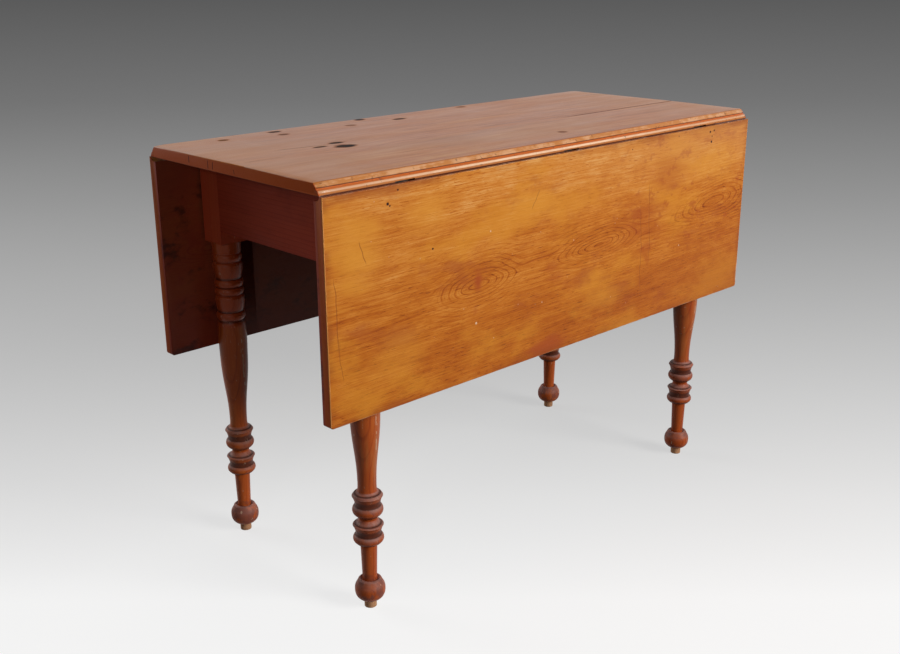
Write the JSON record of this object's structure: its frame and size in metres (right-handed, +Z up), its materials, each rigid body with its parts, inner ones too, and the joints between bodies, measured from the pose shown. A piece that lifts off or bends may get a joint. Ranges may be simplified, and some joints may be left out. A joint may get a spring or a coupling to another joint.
{
  "type": "drop leaf table",
  "caption": "Drop leaf table with turned legs on ball feet, a narrow fixed top, hanging leaves on rule joint hinges, and swing arms set into the side aprons to carry the raised leaves.",
  "frame": {"origin": "on the floor under the middle of the table", "axes": "+X along the table and the hinge lines, +Y across it towards the back leaf, +Z up"},
  "size_m": [1.067, 0.4666, 0.73],
  "materials": {
    "cherry_wood": "worn satin varnish",
    "bare_maple": "bare, unvarnished",
    "pine": "bare, sawn",
    "dark_iron": "dark, aged"
  },
  "bodies": {
    "frame": {"arm_pivot_screws": "dark_iron", "block_screws": "dark_iron", "end_apron_left": "cherry_wood", "end_apron_right": "cherry_wood", "end_block_left": "pine", "end_block_right": "pine", "foot_peg_left_back": "bare_maple", "foot_peg_left_front": "bare_maple", "foot_peg_right_back": "bare_maple", "foot_peg_right_front": "bare_maple", "hinge_pins": "dark_iron", "hinge_screws_top": "dark_iron", "hinge_top_plate_back_left": "dark_iron", "hinge_top_plate_back_middle": "dark_iron", "hinge_top_plate_back_right": "dark_iron", "hinge_top_plate_front_left": "dark_iron", "hinge_top_plate_front_middle": "dark_iron", "hinge_top_plate_front_right": "dark_iron", "leg_left_back": "cherry_wood", "leg_left_front": "cherry_wood", "leg_right_back": "cherry_wood", "leg_right_front": "cherry_wood", "side_apron_back": "cherry_wood", "side_apron_front": "cherry_wood", "side_block_back_left": "pine", "side_block_back_middle": "pine", "side_block_back_right": "pine", "side_block_front_left": "pine", "side_block_front_middle": "pine", "side_block_front_right": "pine", "top_board_back": "cherry_wood", "top_board_front": "cherry_wood"},
    "leaf_front": {"hinge_leaf_plate_front_left": "dark_iron", "hinge_leaf_plate_front_middle": "dark_iron", "hinge_leaf_plate_front_right": "dark_iron", "hinge_screws_leaf_front": "dark_iron", "leaf_front": "cherry_wood"},
    "leaf_back": {"hinge_leaf_plate_back_left": "dark_iron", "hinge_leaf_plate_back_middle": "dark_iron", "hinge_leaf_plate_back_right": "dark_iron", "hinge_screws_leaf_back": "dark_iron", "leaf_back": "cherry_wood"},
    "arm_left_front": {"swing_arm_left_front": "cherry_wood"},
    "arm_left_back": {"swing_arm_left_back": "cherry_wood"},
    "arm_right_front": {"swing_arm_right_front": "cherry_wood"},
    "arm_right_back": {"swing_arm_right_back": "cherry_wood"}
  },
  "joints": [
    {"name": "leaf_front_hinge", "type": "hinge", "parent": "frame", "child": "leaf_front", "pos_m": [0, -0.2175, 0.7142], "axis": [-1, 0, 0], "range_deg": [0, 90]},
    {"name": "leaf_back_hinge", "type": "hinge", "parent": "frame", "child": "leaf_back", "pos_m": [0, 0.2175, 0.7142], "axis": [1, 0, 0], "range_deg": [0, 90]},
    {"name": "arm_left_front_swing", "type": "hinge", "parent": "frame", "child": "arm_left_front", "pos_m": [-0.21, -0.1855, 0.69], "axis": [0, 0, 1], "range_deg": [-9, 9]},
    {"name": "arm_left_back_swing", "type": "hinge", "parent": "frame", "child": "arm_left_back", "pos_m": [-0.21, 0.1855, 0.69], "axis": [0, 0, 1], "range_deg": [-9, 9]},
    {"name": "arm_right_front_swing", "type": "hinge", "parent": "frame", "child": "arm_right_front", "pos_m": [0.21, -0.1855, 0.69], "axis": [0, 0, 1], "range_deg": [-9, 9]},
    {"name": "arm_right_back_swing", "type": "hinge", "parent": "frame", "child": "arm_right_back", "pos_m": [0.21, 0.1855, 0.69], "axis": [0, 0, 1], "range_deg": [-9, 9]}
  ]
}
